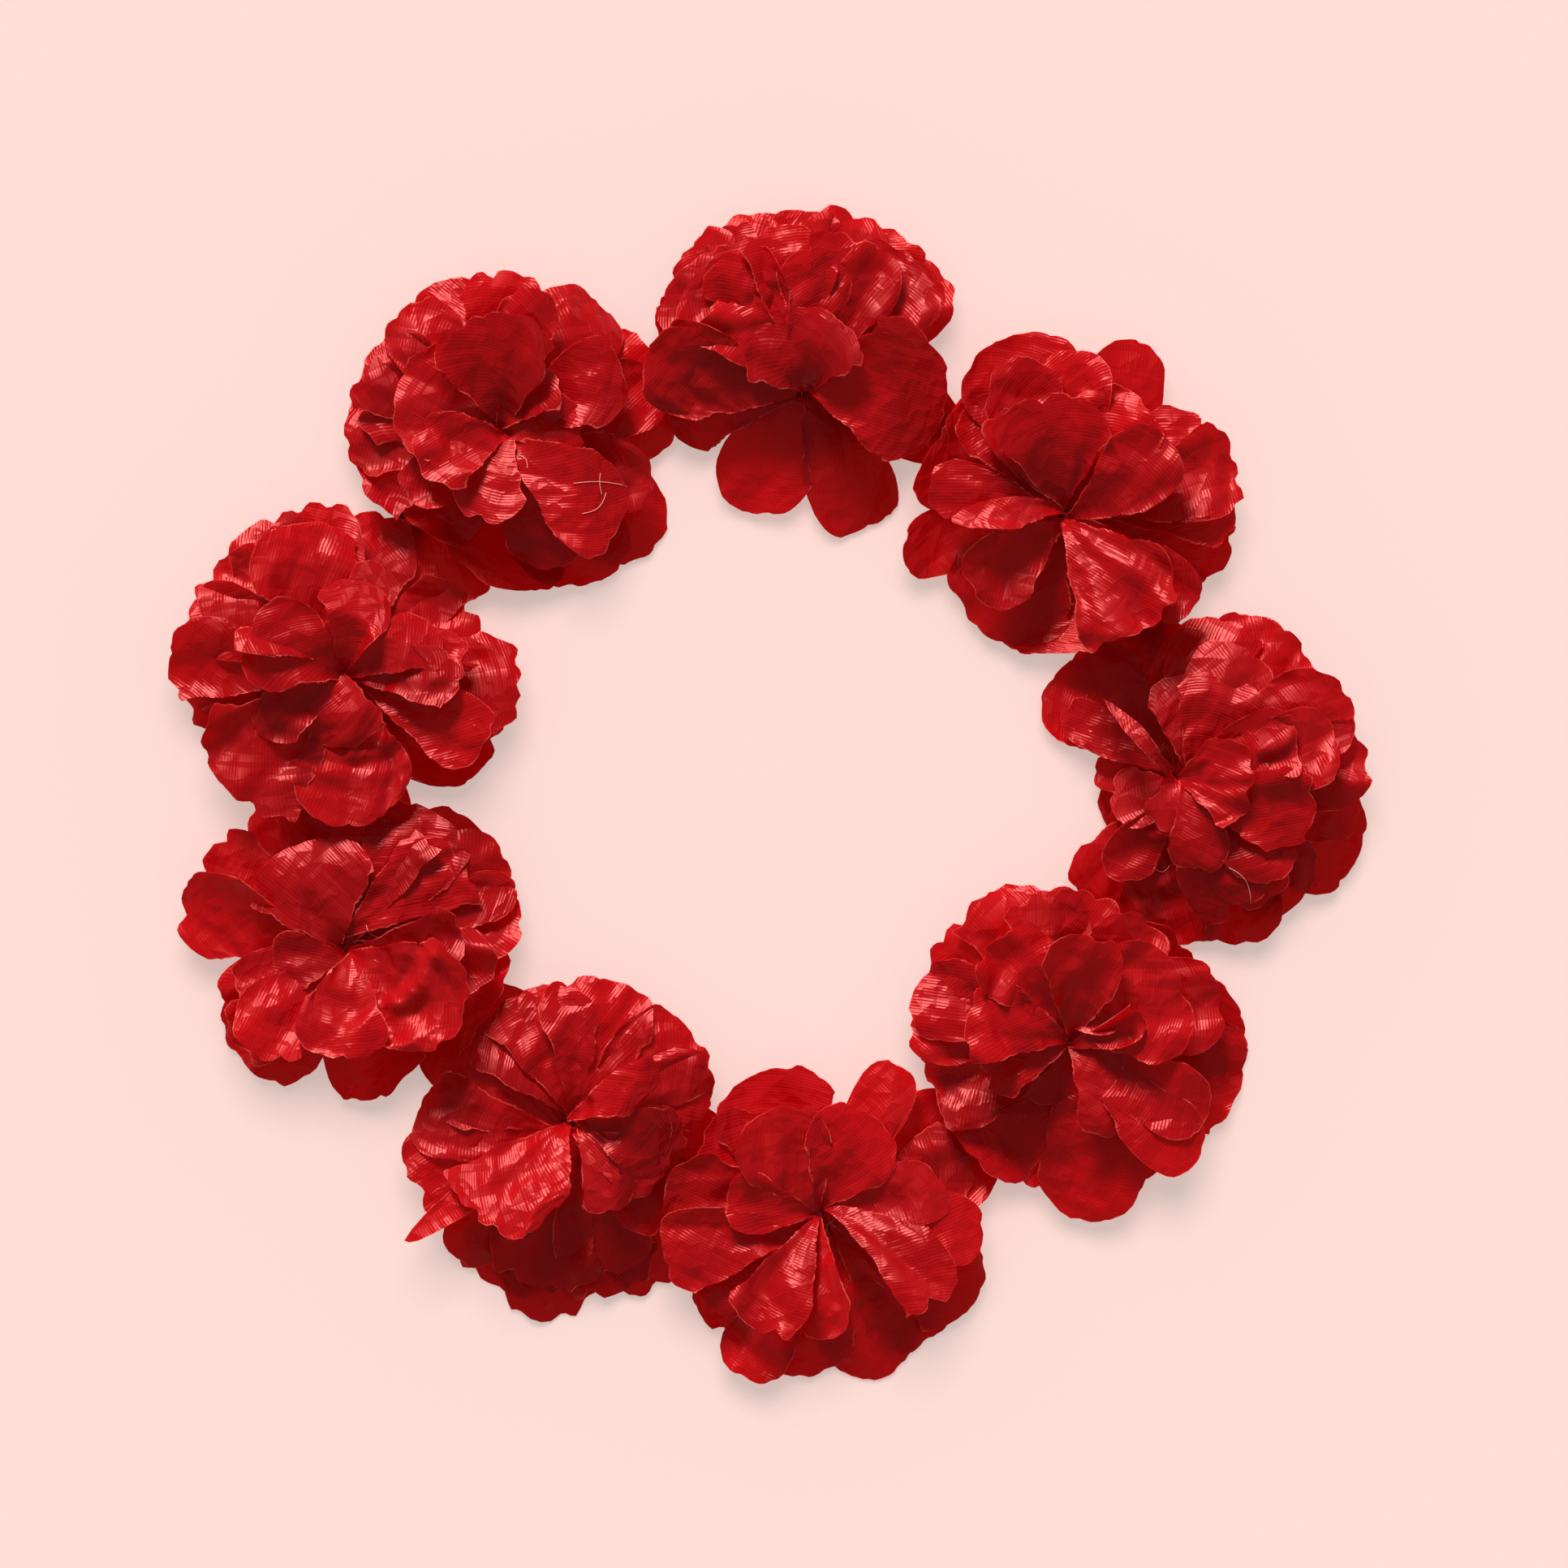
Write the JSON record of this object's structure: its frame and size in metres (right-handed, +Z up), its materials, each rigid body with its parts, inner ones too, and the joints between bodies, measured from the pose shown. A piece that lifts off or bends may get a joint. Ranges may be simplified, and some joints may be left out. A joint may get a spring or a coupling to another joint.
{
  "type": "floral wreath",
  "caption": "Floral wreath of full satin blooms with layered ruffled petals, sewn side by side onto a flat band that closes in a ring, lying face up",
  "frame": {"origin": "On the surface the wreath lies on, under the middle of its bounding box", "axes": "+Z up, out of the face of the wreath; +Y towards the bloom that is counted first, +X to its right when seen from above"},
  "size_m": [0.2735, 0.269, 0.031],
  "materials": {
    "petal_satin": "satin",
    "band_cloth": "matte woven",
    "sewing_thread": "matte"
  },
  "bodies": {
    "root": {"band": "band_cloth", "bloom_1": "petal_satin", "bloom_2": "petal_satin", "bloom_3": "petal_satin", "bloom_4": "petal_satin", "bloom_5": "petal_satin", "bloom_6": "petal_satin", "bloom_7": "petal_satin", "bloom_8": "petal_satin", "bloom_9": "petal_satin", "knot_1": "sewing_thread", "knot_2": "sewing_thread", "knot_3": "sewing_thread", "knot_4": "sewing_thread", "knot_5": "sewing_thread", "knot_6": "sewing_thread", "knot_7": "sewing_thread", "knot_8": "sewing_thread", "knot_9": "sewing_thread"}
  },
  "joints": []
}
